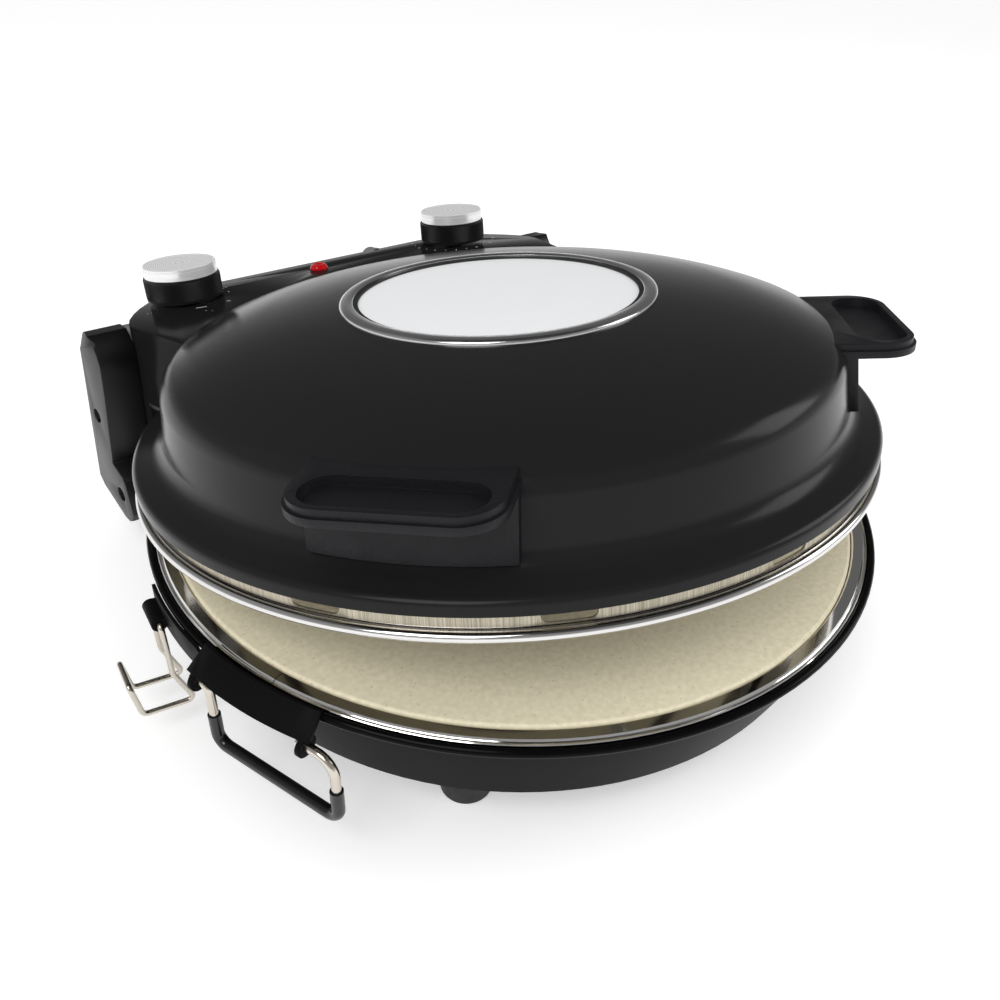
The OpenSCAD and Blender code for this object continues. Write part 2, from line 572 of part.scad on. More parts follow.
module housing_bolts() color("#85878a") on_lid() both() {
  bary(144.2, 158, 40, 28, 2);
  bary(144.0, 145.0, 40, 28, 2.7);
}
module control(h) difference() {
  union() {
    translate([0, 0, house_z - house_t - h]) cylinder(r = control_r, h = h);
    translate([0, 0, house_z - house_t - 1]) cylinder(r = 5.2, h = house_t + 1.4);
    translate([-8, -3, house_z - house_t - h - 4]) cube([16, 2, 5]);
  }
  translate([0, 0, 30]) cylinder(r = 3 + run_c, h = 30, $fn = 40);
}
module thermostat() color("#8a7a52") on_lid() translate([-knob_x, knob_y, 0]) control(22);
module timer() color("#3b3b3f") on_lid() translate([knob_x, knob_y, 0]) control(26);
module lamp_lens() color("#c4141a") on_lid() translate([lamp_p[0], lamp_p[1], 0]) union() {
  translate([0, 0, 43]) cylinder(r = 4, h = house_z - 43);
  translate([0, 0, house_z]) cylinder(r = 5.2, h = 0.7);
  translate([0, 0, house_z + 0.7]) intersection() {
    translate([0, 0, -3.9]) sphere(r = 6.1);
    cylinder(r = 4.7, h = 4);
  }
}
module lamp_holder() color("#c9c9c6") on_lid() translate([lamp_p[0], lamp_p[1], 0]) difference() {
  translate([0, 0, lamp_z]) cylinder(r = 5.5, h = house_z - house_t - lamp_z);
  translate([0, 0, 43]) cylinder(r = 4, h = 10);
}
module terminal_block() color("#d8d3c4") on_lid() difference() {
  translate([-22, house_y - 11.6, 8]) cube([44, 9, 13]);
  for (i = [-1.5:1:1.5]) translate([i * 10, house_y - 7, 12]) cylinder(r = 2, h = 12);
}
module cord_gland() color("#77787a") on_lid() difference() {
  union() {
    bary(house_y - 6, house_y, gland_p[0], gland_p[1], 3.6);
    bary(house_y, house_y + 3, gland_p[0], gland_p[1], 6.8);
    bary(house_y + 3, house_y + 9.7, gland_p[0], gland_p[1], 6.4);
  }
  bary(170, 200, gland_p[0], gland_p[1], 2.8);
}
// Hinge arm on the +X side; its outer face toes out towards the rear
arm_o = [for (q = [[-8.1, 47.5], [-13.1, 45.5], [-16.6, 42], [-18.6, 37], [-19.1, 31], [-17.1, 23],
  [-14.1, 13], [-2.1, -21], [0.9, -28], [-8.1, -33.5], [-10.1, -37], [-10.1, -56], [-7.1, -60.5],
  [-2.1, -62.5], [2.9, -61.5],
  [23.9, -48], [26.9, -43], [15.9, -6.6], [1.9, 38], [-3.1, 48]]) [q[0] + hinge_y, q[1]]];
module arm() difference() {
  translate([arm_x, 0, 0]) rotate([90, 0, 90]) linear_extrude(26) polygon(arm_o);
  translate([arm_x + arm_w, hinge_y, -80]) rotate([0, 0, -6]) translate([0, -80, 0]) cube([30, 160, 200]);
  translate([0, 100, 0]) rotate([-90, 0, 0]) linear_extrude(100)
    polygon([[hinge_y - 15.1, -48.01], [hinge_y - 7.6, -35], [hinge_y + 14.9, -35],
      [hinge_y + 14.9, -60], [hinge_y - 15.1, -60]]);
  barx(arm_x - 1, arm_x + 40, hinge_y, hinge_z - lid_z0, pin_d / 2 + run_c);
  barx(arm_x - 1, arm_x + 40, hinge_y + 4.4, -1.3, 2.5);
  barx(arm_x + 8, arm_x + 40, hinge_y + 4.4, -1.3, 3.8);
  for (z = [18, 34]) barx(arm_x - 1, arm_x + 10, arm_sy, z, 2);
}
module arm_left() color("#1d1d20") on_lid() mirror([1, 0, 0]) arm();
module arm_right() color("#1d1d20") on_lid() arm();
module arm_screws() color("#85878a") on_lid() both() {
  barx(arm_x - 6, arm_x + 8, hinge_y + 4.4, -1.3, 2.5);
  barx(arm_x + 8, arm_x + 10.4, hinge_y + 4.4, -1.3, 3.8);
  for (z = [18, 34]) {
    barx(arm_x - 10, arm_x + 10, arm_sy, z, 2);
    barx(arm_x - 11, arm_x - 9, arm_sy, z, 3.6);
  }
}
module knob_body() {
  difference() {
    union() {
      translate([0, 0, house_z + 1]) linear_extrude(12) polygon([for (i = [0:2 * grips - 1])
        (i % 2 == 0 ? knob_r : knob_r - 0.5) * [cos(i * 180 / grips), sin(i * 180 / grips)]]);
      translate([0, 0, house_z + 12]) cylinder(r = cap_r - 1, h = cap_z - 1 - house_z - 12);
    }
    difference() {
      translate([0, 0, house_z]) cylinder(r = knob_r - 3.3, h = 9);
      translate([0, 0, house_z]) cylinder(r = 6, h = 10);
    }
    translate([0, 0, 40]) cylinder(r = 3, h = 19, $fn = 40);
  }
}
module knob_cap() difference() {
  union() {
    translate([0, 0, house_z + 13]) cylinder(r = cap_r, h = cap_z - house_z - 13.6);
    translate([0, 0, cap_z - 0.6]) cylinder(r1 = cap_r, r2 = cap_r - 0.6, h = 0.6);
  }
  translate([0, 0, house_z + 11]) cylinder(r = cap_r - 1, h = cap_z - 1 - house_z - 11);
}
module knob_shaft() translate([0, 0, 31]) cylinder(r = 3, h = 28, $fn = 40);
module knob_left() color("#151517") on_lid() translate([-knob_x, knob_y, 0]) knob_body();
module knob_right() color("#151517") on_lid() translate([knob_x, knob_y, 0]) knob_body();
module knob_left_cap() color("#d3d4d6") on_lid() translate([-knob_x, knob_y, 0]) knob_cap();
module knob_right_cap() color("#d3d4d6") on_lid() translate([knob_x, knob_y, 0]) knob_cap();
module knob_left_shaft() color("#9fa1a4") on_lid() translate([-knob_x, knob_y, 0]) knob_shaft();
module knob_right_shaft() color("#9fa1a4") on_lid() translate([knob_x, knob_y, 0]) knob_shaft();

// ---- drawing -------------------------------------------------------------
base_bowl();
rim_ring();
reflector_pan();
reflector_band();
pan_standoffs();
pan_screws();
lower_element();
lower_clips();
stone_supports();
pizza_stone();
feet();
foot_screws();
hinge_yoke();
yoke_screws();
hinge_pins();
terminal_cover();
terminal_bolts();
bracket_left();
bracket_right();
bracket_rivets();
bail_wire_left();
bail_sleeve_left();
bail_wire_right();
bail_sleeve_right();
latch_wire_left();
latch_wire_right();
lid_shell();
lid_skirt();
upper_reflector();
upper_element();
upper_clips();
window_glass();
window_gasket();
window_bezel();
window_retainer();
handle_left();
handle_right();
handle_screws();
control_housing();
housing_cover();
cover_screws();
housing_bolts();
thermostat();
timer();
lamp_lens();
lamp_holder();
terminal_block();
cord_gland();
arm_left();
arm_right();
arm_screws();
knob_left();
knob_left_cap();
knob_left_shaft();
knob_right();
knob_right_cap();
knob_right_shaft();
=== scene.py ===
"""Electric pizza maker: its finishes, bent wires, moulded handles and knurled knobs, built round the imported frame."""

import json
import math

import bpy
from mathutils import Matrix, Vector

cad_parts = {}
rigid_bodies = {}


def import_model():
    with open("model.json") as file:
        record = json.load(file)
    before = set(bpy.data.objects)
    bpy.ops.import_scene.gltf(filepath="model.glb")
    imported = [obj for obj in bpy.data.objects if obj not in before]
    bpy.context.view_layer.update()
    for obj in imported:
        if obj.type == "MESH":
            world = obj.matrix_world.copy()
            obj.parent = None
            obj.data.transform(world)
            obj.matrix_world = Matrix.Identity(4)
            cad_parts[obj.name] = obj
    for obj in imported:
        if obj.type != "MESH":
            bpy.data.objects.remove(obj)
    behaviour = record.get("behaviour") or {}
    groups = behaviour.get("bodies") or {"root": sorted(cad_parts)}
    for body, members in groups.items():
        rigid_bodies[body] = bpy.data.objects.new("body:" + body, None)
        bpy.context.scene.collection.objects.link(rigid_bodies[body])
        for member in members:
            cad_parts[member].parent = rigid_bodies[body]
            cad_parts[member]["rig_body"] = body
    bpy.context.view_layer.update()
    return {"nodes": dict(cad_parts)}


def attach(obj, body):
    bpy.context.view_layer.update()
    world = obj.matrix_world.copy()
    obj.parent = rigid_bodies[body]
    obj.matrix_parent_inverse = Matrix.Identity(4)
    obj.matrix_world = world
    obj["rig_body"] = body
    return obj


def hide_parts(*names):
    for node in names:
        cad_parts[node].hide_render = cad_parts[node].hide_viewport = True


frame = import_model()

# ---- Camera ---------------------------------------------------------------
# A 33 mm lens looking down on the left front of the cooker, a little rolled.
yaw, pitch, roll = (math.radians(a) for a in (38.49, 34.44, 2.33))
look = Vector((math.sin(yaw) * math.cos(pitch), math.cos(yaw) * math.cos(pitch), -math.sin(pitch)))
level_right = Vector((math.cos(yaw), -math.sin(yaw), 0))
level_up = level_right.cross(look)
right = math.cos(roll) * level_right + math.sin(roll) * level_up
up = math.cos(roll) * level_up - math.sin(roll) * level_right
sensor, lens_to_sensor = 36, 0.92723
bpy.ops.object.camera_add(location=(-0.24218, -0.31217, 0.31724))
camera = bpy.context.object
camera.rotation_euler = Matrix((right, up, -look)).transposed().to_euler()
camera.data.sensor_width = sensor
camera.data.lens = sensor * lens_to_sensor
camera.data.clip_start = 0.01
bpy.context.scene.camera = camera
bpy.context.scene.view_settings.view_transform = "Standard"

# ---- Studio ---------------------------------------------------------------
# A pale floor, walls white at the bottom and grey above, darker behind the
# cooker, a dim ceiling, a large soft lamp at the left and a weaker one at the right.
floor_glow, soft_light = 0.34, 0.74
bpy.ops.object.select_all(action="DESELECT")
bpy.ops.mesh.primitive_circle_add(vertices=96, radius=6, fill_type="NGON", location=(0, 0, 0))
floor = bpy.context.object
floor.name = "studio_floor"


def seen_directly(tree):
    """1 where a camera, mirror or glass ray meets the surface, 0 for the soft light."""
    path = tree.nodes.new("ShaderNodeLightPath")
    total = path.outputs["Is Camera Ray"]
    for other in ("Is Glossy Ray", "Is Transmission Ray"):
        add = tree.nodes.new("ShaderNodeMath")
        add.operation = "MAXIMUM"
        tree.links.new(total, add.inputs[0])
        tree.links.new(path.outputs[other], add.inputs[1])
        total = add.outputs[0]
    return total


floor_paint = bpy.data.materials.new("studio_floor_white")
floor_paint.use_nodes = True
tree = floor_paint.node_tree
shader = tree.nodes["Principled BSDF"]
shader.inputs["Base Color"].default_value = (0.86, 0.86, 0.86, 1)
shader.inputs["Roughness"].default_value = 0.9
shader.inputs["Emission Color"].default_value = (1, 1, 1, 1)
lift = tree.nodes.new("ShaderNodeMath")
lift.operation = "MULTIPLY"
lift.inputs[1].default_value = floor_glow
tree.links.new(seen_directly(tree), lift.inputs[0])
tree.links.new(lift.outputs[0], shader.inputs["Emission Strength"])
floor.data.materials.append(floor_paint)

world = bpy.data.worlds.new("studio_sweep")
bpy.context.scene.world = world
world.use_nodes = True
tree = world.node_tree
background = tree.nodes["Background"]
background.inputs["Color"].default_value = (1, 1, 1, 1)
coords = tree.nodes.new("ShaderNodeTexCoord")
split = tree.nodes.new("ShaderNodeSeparateXYZ")
tree.links.new(coords.outputs["Generated"], split.inputs[0])
ceiling = tree.nodes.new("ShaderNodeValToRGB")
ceiling.color_ramp.interpolation = "EASE"
stops = ceiling.color_ramp.elements
stops[0].position, stops[1].position = 0.02, 0.9
for place in (0.2, 0.62):
    stops.new(place)
for stop, value in zip(stops, (1.0, 0.36, 0.3, 0.05)):
    stop.color = (value, value, value, 1)
tree.links.new(split.outputs["Z"], ceiling.inputs["Fac"])
backwards = tree.nodes.new("ShaderNodeVectorMath")
backwards.operation = "DOT_PRODUCT"
backwards.inputs[1].default_value = (0.62, 0.78, 0)
far_wall = tree.nodes.new("ShaderNodeMapRange")
for socket, value in (("From Min", 0.15), ("From Max", 0.7), ("To Min", 1.0), ("To Max", 0.4)):
    far_wall.inputs[socket].default_value = value
walls = tree.nodes.new("ShaderNodeMath")
walls.operation = "MULTIPLY"
tree.links.new(coords.outputs["Generated"], backwards.inputs[0])
tree.links.new(backwards.outputs["Value"], far_wall.inputs["Value"])
tree.links.new(far_wall.outputs["Result"], walls.inputs[0])
tree.links.new(ceiling.outputs["Color"], walls.inputs[1])
path = tree.nodes.new("ShaderNodeLightPath")
wall_or_soft = tree.nodes.new("ShaderNodeMix")
wall_or_soft.inputs[2].default_value = soft_light
tree.links.new(seen_directly(tree), wall_or_soft.inputs[0])
tree.links.new(walls.outputs[0], wall_or_soft.inputs[3])
white_backdrop = tree.nodes.new("ShaderNodeMix")
white_backdrop.inputs[3].default_value = 1.0
tree.links.new(path.outputs["Is Camera Ray"], white_backdrop.inputs[0])
tree.links.new(wall_or_soft.outputs[0], white_backdrop.inputs[2])
tree.links.new(white_backdrop.outputs[0], background.inputs["Strength"])


def soft_lamp(name, place, aim, size, watts):
    """A square soft box at place, turned towards aim."""
    bpy.ops.object.light_add(type="AREA", location=place)
    lamp = bpy.context.object
    lamp.name = name
    lamp.data.size = size
    lamp.data.energy = watts
    lamp.rotation_euler = (Vector(place) - Vector(aim)).to_track_quat("Z", "Y").to_euler()


cooker_middle = (0, 0, 0.08)
soft_lamp("lamp_left", (-1.1, -0.5, 1.3), cooker_middle, 0.9, 11)
soft_lamp("lamp_right", (1.3, -0.7, 0.9), cooker_middle, 0.8, 6)

# ---- Base bowl and rim ----------------------------------------------------
# A deep-drawn steel bowl in satin black enamel, with a rolled gloss black rim
# clipped over its edge.
def enamel(name, colour, roughness, metallic=0.0, **sockets):
    """A plain finish with constants on the shader's own sockets."""
    finish = bpy.data.materials.new(name)
    finish.use_nodes = True
    shader = finish.node_tree.nodes["Principled BSDF"]
    shader.inputs["Base Color"].default_value = (*colour, 1)
    shader.inputs["Roughness"].default_value = roughness
    shader.inputs["Metallic"].default_value = metallic
    for socket, value in sockets.items():
        shader.inputs[socket.replace("_", " ")].default_value = value
    finish.diffuse_color = (*colour, 1)
    return finish


def spread(finish, socket, low, high, scale, stretch=(1, 1, 1)):
    """A socket wanders between low and high over the surface, as cloudy or streaky as stretch makes it."""
    tree = finish.node_tree
    coords = tree.nodes.new("ShaderNodeTexCoord")
    place = tree.nodes.new("ShaderNodeMapping")
    place.vector_type = "TEXTURE"
    place.inputs["Scale"].default_value = [1 / s for s in stretch]
    noise = tree.nodes.new("ShaderNodeTexNoise")
    noise.inputs["Scale"].default_value = scale
    noise.inputs["Detail"].default_value = 3
    tree.links.new(coords.outputs["Object"], place.inputs["Vector"])
    tree.links.new(place.outputs["Vector"], noise.inputs["Vector"])
    if isinstance(low, tuple):
        ramp = tree.nodes.new("ShaderNodeValToRGB")
        for stop, place_on_ramp, colour in zip(ramp.color_ramp.elements, (0.32, 0.68), (low, high)):
            stop.position, stop.color = place_on_ramp, (*colour, 1)
        tree.links.new(noise.outputs["Fac"], ramp.inputs["Fac"])
        tree.links.new(ramp.outputs["Color"], tree.nodes["Principled BSDF"].inputs[socket])
    else:
        bend = tree.nodes.new("ShaderNodeMapRange")
        for name, value in (("From Min", 0.3), ("From Max", 0.7), ("To Min", low), ("To Max", high)):
            bend.inputs[name].default_value = value
        tree.links.new(noise.outputs["Fac"], bend.inputs["Value"])
        tree.links.new(bend.outputs["Result"], tree.nodes["Principled BSDF"].inputs[socket])
    return finish


def grain(finish, scale, strength, height):
    """A fine raised texture, height in metres."""
    tree = finish.node_tree
    coords = tree.nodes.new("ShaderNodeTexCoord")
    noise = tree.nodes.new("ShaderNodeTexNoise")
    noise.inputs["Scale"].default_value = scale
    noise.inputs["Detail"].default_value = 2
    bump = tree.nodes.new("ShaderNodeBump")
    bump.inputs["Strength"].default_value = strength
    bump.inputs["Distance"].default_value = height
    tree.links.new(coords.outputs["Object"], noise.inputs["Vector"])
    tree.links.new(noise.outputs["Fac"], bump.inputs["Height"])
    tree.links.new(bump.outputs["Normal"], tree.nodes["Principled BSDF"].inputs["Normal"])
    return finish


def dress(finish, *nodes):
    """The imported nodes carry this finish."""
    for name in nodes:
        piece = frame["nodes"][name]
        piece.data.materials.clear()
        piece.data.materials.append(finish)


def stand_for(piece, finish, *nodes):
    """The piece takes the place, the body and the material slot of these nodes."""
    piece.data.materials.clear()
    piece.data.materials.append(finish)
    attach(piece, frame["nodes"][nodes[0]]["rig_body"])
    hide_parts(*nodes)
    return piece


def alone(piece):
    """Only this piece is selected, and it is the active one."""
    bpy.ops.object.select_all(action="DESELECT")
    piece.select_set(True)
    bpy.context.view_layer.objects.active = piece


def pick(piece, kind, chosen):
    """In edit mode, selects the corners (VERT), edges (EDGE) or faces (FACE) for which chosen is true."""
    bpy.ops.mesh.select_mode(type=kind)
    bpy.ops.mesh.select_all(action="DESELECT")
    bpy.ops.object.mode_set(mode="OBJECT")
    parts = {"VERT": piece.data.vertices, "EDGE": piece.data.edges, "FACE": piece.data.polygons}[kind]
    for part in parts:
        part.select = chosen(part)
    bpy.ops.object.mode_set(mode="EDIT")


def ends(piece, edge):
    """The places of an edge's two ends."""
    return [piece.data.vertices[i].co for i in edge.vertices]


merge_gap = 0.00001
hard_edge = math.radians(32)


def eased(name, node, finish, width, segments=3, reshape=None):
    """A merged copy of a node's solid in the node's place, its hard edges eased by width metres.
    reshape, where given, works on the merged copy in edit mode first."""
    piece = bpy.data.objects.new(name, frame["nodes"][node].data.copy())
    bpy.context.scene.collection.objects.link(piece)
    alone(piece)
    bpy.ops.object.mode_set(mode="EDIT")
    bpy.ops.mesh.select_all(action="SELECT")
    bpy.ops.mesh.remove_doubles(threshold=merge_gap)
    bpy.ops.mesh.dissolve_limited(angle_limit=math.radians(0.6))
    if reshape:
        reshape(piece)
    bpy.ops.object.mode_set(mode="OBJECT")
    ease = piece.modifiers.new("eased_edges", "BEVEL")
    ease.width, ease.segments, ease.limit_method, ease.angle_limit = width, segments, "ANGLE", hard_edge
    bpy.ops.object.modifier_apply(modifier=ease.name)
    bpy.ops.object.shade_smooth_by_angle(angle=hard_edge)
    return stand_for(piece, finish, node)


bowl_enamel = enamel("satin_black_enamel", (0.012, 0.012, 0.0125), 0.3, Specular_IOR_Level=0.006)
dress(grain(spread(bowl_enamel, "Roughness", 0.26, 0.36, 9), 900, 0.08, 0.0001), "base_bowl")
rim_enamel = enamel("gloss_black_rim", (0.003, 0.003, 0.0032), 0.12, Specular_IOR_Level=0.06)
dress(spread(rim_enamel, "Roughness", 0.1, 0.17, 14), "rim_ring")

# ---- Reflector pan, band and lower element --------------------------------
# A bright pressed pan stands on three posts in the bowl; a rolled mirror band
# closes the gap to the rim. The element is a sheathed heating rod.
mirror_sheet = spread(enamel("mirror_steel_sheet", (0.78, 0.77, 0.75), 0.1, 1.0), "Roughness", 0.07, 0.16, 22)
dress(mirror_sheet, "reflector_pan", "upper_reflector")
band_steel = enamel("polished_band_steel", (0.86, 0.85, 0.83), 0.06, 1.0)
dress(spread(band_steel, "Roughness", 0.04, 0.1, 30, (1, 1, 0.2)), "reflector_band")
zinc = spread(enamel("zinc_plated_steel", (0.6, 0.6, 0.61), 0.32, 1.0), "Roughness", 0.25, 0.42, 160)
dress(zinc, "pan_standoffs", "pan_screws", "lower_clips", "stone_supports", "foot_screws", "yoke_screws",
      "terminal_bolts", "upper_clips", "window_retainer", "handle_screws", "cover_screws", "housing_bolts")
heater_sheath = spread(enamel("heater_sheath", (0.13, 0.11, 0.095), 0.42, 0.8), "Base Color",
                       (0.1, 0.085, 0.075), (0.2, 0.17, 0.145), 60)
dress(heater_sheath, "lower_element", "upper_element")

# ---- Pizza stone ----------------------------------------------------------
# Pressed and fired cordierite, cream, open-grained, with fine darker specks.
stone_fired = enamel("fired_cream_stone", (0.72, 0.69, 0.5), 0.85)
tree = stone_fired.node_tree
shader = tree.nodes["Principled BSDF"]
coords = tree.nodes.new("ShaderNodeTexCoord")
cloud = tree.nodes.new("ShaderNodeTexNoise")
cloud.inputs["Scale"].default_value = 420
cloud.inputs["Detail"].default_value = 6
tone = tree.nodes.new("ShaderNodeValToRGB")
tone.color_ramp.elements[0].position, tone.color_ramp.elements[1].position = 0.3, 0.7
tone.color_ramp.elements[0].color = (0.76, 0.69, 0.5, 1)
tone.color_ramp.elements[1].color = (0.88, 0.81, 0.6, 1)
specks = tree.nodes.new("ShaderNodeTexVoronoi")
specks.inputs["Scale"].default_value = 260
dot = tree.nodes.new("ShaderNodeMapRange")
for socket, value in (("From Min", 0.08), ("From Max", 0.16), ("To Min", 0.75), ("To Max", 0.0)):
    dot.inputs[socket].default_value = value
speckled = tree.nodes.new("ShaderNodeMix")
speckled.data_type = "RGBA"
speckled.inputs[7].default_value = (0.64, 0.57, 0.42, 1)
pits = tree.nodes.new("ShaderNodeBump")
pits.inputs["Strength"].default_value = 0.35
pits.inputs["Distance"].default_value = 0.0003
for texture in (cloud, specks):
    tree.links.new(coords.outputs["Object"], texture.inputs["Vector"])
tree.links.new(cloud.outputs["Fac"], tone.inputs["Fac"])
tree.links.new(specks.outputs["Distance"], dot.inputs["Value"])
tree.links.new(dot.outputs["Result"], speckled.inputs[0])
tree.links.new(tone.outputs["Color"], speckled.inputs[6])
tree.links.new(speckled.outputs[2], shader.inputs["Base Color"])
tree.links.new(cloud.outputs["Fac"], pits.inputs["Height"])
tree.links.new(pits.outputs["Normal"], shader.inputs["Normal"])
dress(stone_fired, "pizza_stone")

# ---- Feet -----------------------------------------------------------------
# Four moulded black rubber feet, each with a recessed screw.
rubber = spread(enamel("black_rubber", (0.012, 0.012, 0.012), 0.6), "Roughness", 0.5, 0.72, 180)
eased("rubber_feet", "feet", grain(rubber, 2600, 0.25, 0.00008), 0.0012)

# ---- Hinge yoke, pins and terminal cover ----------------------------------
# A bent black-coated steel yoke screwed under the bowl carries two steel pins;
# a folded cover hides the lower element's ends.
powder_coat = enamel("satin_powder_coat", (0.005, 0.005, 0.0055), 0.42, Specular_IOR_Level=0.04)
powder_coat = grain(spread(powder_coat, "Roughness", 0.36, 0.5, 40), 1500, 0.18, 0.00006)
dress(powder_coat, "bracket_rivets")
eased("yoke", "hinge_yoke", powder_coat, 0.0005)
eased("element_cover", "terminal_cover", powder_coat, 0.0012)
turned_steel = spread(enamel("turned_steel", (0.55, 0.55, 0.56), 0.25, 1.0), "Roughness", 0.18, 0.34, 90, (4, 1, 1))
dress(turned_steel, "hinge_pins", "knob_left_shaft", "knob_right_shaft")

# ---- Side brackets --------------------------------------------------------
# Pressed steel, satin black, hooked over the rim: two ears for the bail and a
# strap with a rolled knuckle for the latch.
bowl_axis_y = -0.0165
strap_from, strap_bottom, strap_inner, strap_outer = 81.3, 0.0555, 0.1721, 0.1738
strap_pull = 0.9951


def on_strap(corner):
    """Whether a corner is on the strap behind the ears, which is drawn in against the rim."""
    forward = bowl_axis_y - corner.co.y
    behind = math.degrees(math.atan2(abs(corner.co.x), forward)) > strap_from
    return behind and corner.co.z > strap_bottom and strap_inner < math.hypot(corner.co.x, forward) < strap_outer


for side in ("left", "right"):
    bracket = eased("side_bracket_" + side, "bracket_" + side, powder_coat, 0.0003, segments=2)
    alone(bracket)
    bpy.ops.object.mode_set(mode="EDIT")
    pick(bracket, "VERT", on_strap)
    bpy.ops.transform.resize(value=(strap_pull, strap_pull, 1), center_override=(0, bowl_axis_y, 0))
    bpy.ops.object.mode_set(mode="OBJECT")

# ---- Bails and latches ----------------------------------------------------
# Nickel-plated spring wire; the bails wear a gloss black sleeve.
nickel = spread(enamel("nickel_plated_wire", (0.62, 0.575, 0.5), 0.16, 1.0), "Roughness", 0.12, 0.26, 120)
sleeve_black = spread(enamel("gloss_black_sleeve", (0.008, 0.008, 0.009), 0.18), "Roughness", 0.14, 0.26, 110)


def bent(corners, bends):
    """The points of a wire bent at each inner corner to the given radii."""
    steps = 9
    corners = [Vector(corner) for corner in corners]
    points = [corners[0]]
    for before, corner, after, bend in zip(corners, corners[1:], corners[2:], bends):
        back, on = (before - corner).normalized(), (after - corner).normalized()
        half = back.angle(on) / 2
        centre = corner + (back + on).normalized() * bend / math.sin(half)
        start, end = (corner + way * bend / math.tan(half) - centre for way in (back, on))
        points += [centre + start.slerp(end, step / steps).normalized() * bend for step in range(steps + 1)]
    return points + [corners[-1]]


def round_wire(name, points, thickness, azimuth, side):
    """A round wire through (along the rim, outwards, up) points in mm, at that angle from the bowl's front."""
    turn, tip = math.radians(azimuth), 0.0003
    along = Vector((-side * math.cos(turn), math.sin(turn), 0))
    outwards = Vector((-side * math.sin(turn), -math.cos(turn), 0))
    line = [(along * p.x + outwards * p.y + Vector((0, 0, p.z))) / 1000 + Vector((0, bowl_axis_y, 0)) for p in points]
    line.insert(1, line[0] + (line[1] - line[0]).normalized() * tip)
    line.insert(-1, line[-1] + (line[-2] - line[-1]).normalized() * tip)
    run = bpy.data.curves.new(name, "CURVE")
    run.dimensions, run.bevel_depth, run.bevel_resolution, run.use_fill_caps = "3D", thickness / 2000, 7, True
    spline = run.splines.new("POLY")
    spline.points.add(len(line) - 1)
    for dot, place in zip(spline.points, line):
        dot.co = (*place, 1)
    spline.points[0].radius = spline.points[-1].radius = 0.8
    piece = bpy.data.objects.new(name, run)
    bpy.context.scene.collection.objects.link(piece)
    alone(piece)
    bpy.ops.object.convert(target="MESH")
    piece = bpy.context.object
    bpy.ops.object.mode_set(mode="EDIT")
    bpy.ops.mesh.select_all(action="SELECT")
    bpy.ops.mesh.remove_doubles(threshold=0.000005)
    bpy.ops.mesh.normals_make_consistent(inside=False)
    bpy.ops.object.mode_set(mode="OBJECT")
    bpy.ops.object.shade_smooth_by_angle(angle=math.radians(40))
    return piece


bail_front, bail_rear, bail_low, bail_pivot, latch_pivot, pivot_out = -41, 22, 27.5, 58, 57, 175
bail_azimuth, latch_azimuth = 71, 95
bail_run = bent([(-23.8, pivot_out, bail_pivot), (bail_front, pivot_out, bail_pivot), (bail_front, pivot_out, bail_low),
                 (bail_rear, pivot_out, bail_low), (bail_rear, pivot_out, bail_pivot), (31.2, pivot_out, bail_pivot)],
                (8, 5.5, 5.5, 3.5))
sleeve_run = bent([(bail_front, pivot_out, 43.5), (bail_front, pivot_out, bail_low),
                   (bail_rear, pivot_out, bail_low), (bail_rear, pivot_out, 43)], (5.5, 5.5))
strand = [(9, pivot_out, latch_pivot), (9, 174.6, 31), (9, 167.64, 12.74), (9, 189.71, 14.16), (9, 192.3, 31)]
hook_run = bent([(0.6, pivot_out, latch_pivot)] + strand + [(-u, v, z) for u, v, z in reversed(strand)]
                + [(-0.6, pivot_out, latch_pivot)], (2.4, 9, 2.2, 3.2, 2.6, 2.6, 3.2, 2.2, 9, 2.4))
for side, word in ((1, "left"), (-1, "right")):
    bail_wire = round_wire("bail_" + word + "_wire", bail_run, 3.75, bail_azimuth, side)
    stand_for(bail_wire, nickel, "bail_wire_" + word)
    bail_sleeve = round_wire("bail_" + word + "_sleeve", sleeve_run, 5.2, bail_azimuth, side)
    stand_for(bail_sleeve, sleeve_black, "bail_sleeve_" + word)
    latch_wire = round_wire("latch_" + word + "_wire", hook_run, 2.5, latch_azimuth, side)
    stand_for(latch_wire, nickel, "latch_wire_" + word)

# ---- Lid shell ------------------------------------------------------------
# Deep-drawn steel in gloss black enamel, one skin with the control housing.
lid_enamel = enamel("gloss_black_enamel", (0.0135, 0.0135, 0.0138), 0.2, Specular_IOR_Level=0.12)
lid_enamel = spread(lid_enamel, "Roughness", 0.17, 0.24, 6)
lid_tilt = math.radians(-7.79)
hinge_y, hinge_z, hinge_behind, bead_height = 0.1386, 0.0281, 0.1551, 0.0743
lid_place = (Matrix.Translation((0, hinge_y, hinge_z)) @ Matrix.Rotation(lid_tilt, 4, "X")
             @ Matrix.Translation((0, -hinge_behind, bead_height - hinge_z)))
flange, window_hole, thickness = 168.3, 66.5, 1.2


def on_lid(piece):
    """From the lid's own level frame, with its bead at height 0, to the lid as it rests."""
    alone(piece)
    piece.matrix_world = lid_place
    bpy.ops.object.transform_apply(location=True, rotation=True, scale=True)
    return piece


